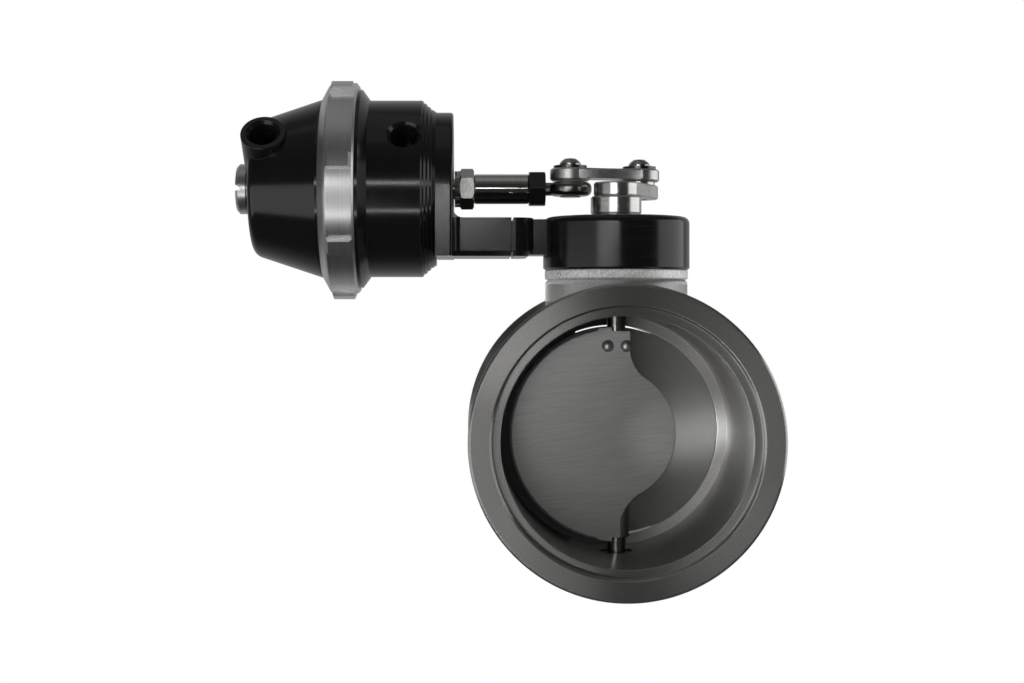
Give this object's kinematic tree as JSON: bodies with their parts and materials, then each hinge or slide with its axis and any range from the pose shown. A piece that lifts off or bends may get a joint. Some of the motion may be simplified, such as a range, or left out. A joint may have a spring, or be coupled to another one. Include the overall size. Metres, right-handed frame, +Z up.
{
  "type": "turbo wastegate",
  "caption": "Butterfly wastegate: a V-band valve body with an upright shaft, worked through a lever and link by a spring and diaphragm actuator on a bracket.",
  "frame": {"origin": "centre of the inlet's face, on the bore's axis", "axes": "+Y along the bore from inlet to outlet, +Z up along the valve shaft, the actuator towards -X"},
  "size_m": [0.1267, 0.0642, 0.1207],
  "materials": {
    "cast_steel": "satin machined cast stainless steel",
    "plate_steel": "brushed and turned heat-resisting steel",
    "bright_steel": "bright machined stainless steel",
    "silver_anodised": "satin clear-anodised aluminium",
    "black_anodised": "satin black anodised aluminium",
    "dark_screws": "black oxide steel",
    "bush_bronze": "sintered bronze",
    "seal_rubber": "heat-resisting rubber",
    "spring_steel": "shot-peened spring wire"
  },
  "bodies": {
    "housing": {"valve_body": "cast_steel", "upper_bush": "bush_bronze", "lower_bush": "bush_bronze", "lower_plug": "cast_steel", "insulating_spacer": "bright_steel", "bracket": "black_anodised", "head_screws": "dark_screws", "disc_screws": "dark_screws", "shaft_seal": "seal_rubber", "thrust_washer": "bright_steel", "actuator_body": "black_anodised", "guide_bush": "bush_bronze", "rod_seal": "seal_rubber", "diaphragm": "seal_rubber", "spring_cap": "black_anodised", "retaining_collar": "silver_anodised", "end_plug": "silver_anodised", "outer_spring": "spring_steel", "inner_spring": "spring_steel"},
    "valve": {"valve_shaft": "bright_steel", "valve_plate": "plate_steel", "plate_pins": "plate_steel", "shaft_collar": "bright_steel", "collar_grub_screw": "dark_screws", "lever": "bright_steel", "lever_screw": "bright_steel", "pivot_spacer": "bright_steel", "pivot_washer": "bright_steel", "pivot_screw": "bright_steel"},
    "link": {"link_plate": "bright_steel", "link_washer": "bright_steel", "link_screw": "bright_steel"},
    "rod": {"actuator_rod": "bright_steel", "piston": "silver_anodised", "spring_seat": "silver_anodised", "piston_nut": "bright_steel", "toothed_washer": "bright_steel", "lock_nut": "bright_steel", "coupler_sleeve": "bright_steel", "rod_end_nut": "dark_screws", "rod_end": "bright_steel", "rod_end_ball": "bright_steel"}
  },
  "joints": [
    {"name": "valve_swing", "type": "hinge", "parent": "housing", "child": "valve", "pos_m": [0, 0.03, 0], "axis": [0, 0, 1], "range_deg": [0, 65]},
    {"name": "link_pivot", "type": "hinge", "parent": "valve", "child": "link", "pos_m": [0.0067, 0.0415, 0.0625], "axis": [0, 0, 1], "range_deg": [-67.2, 0]},
    {"name": "rod_stroke", "type": "slide", "parent": "housing", "child": "rod", "axis": [1, 0, 0], "range_m": [-0.01455, 0], "deforming": ["outer_spring", "inner_spring", "diaphragm"]}
  ],
  "couplings": [
    {"joint": "link_pivot", "follows": "valve_swing", "ratio": -1.029},
    {"joint": "rod_stroke", "follows": "valve_swing", "m_per_rad": -0.012708}
  ]
}
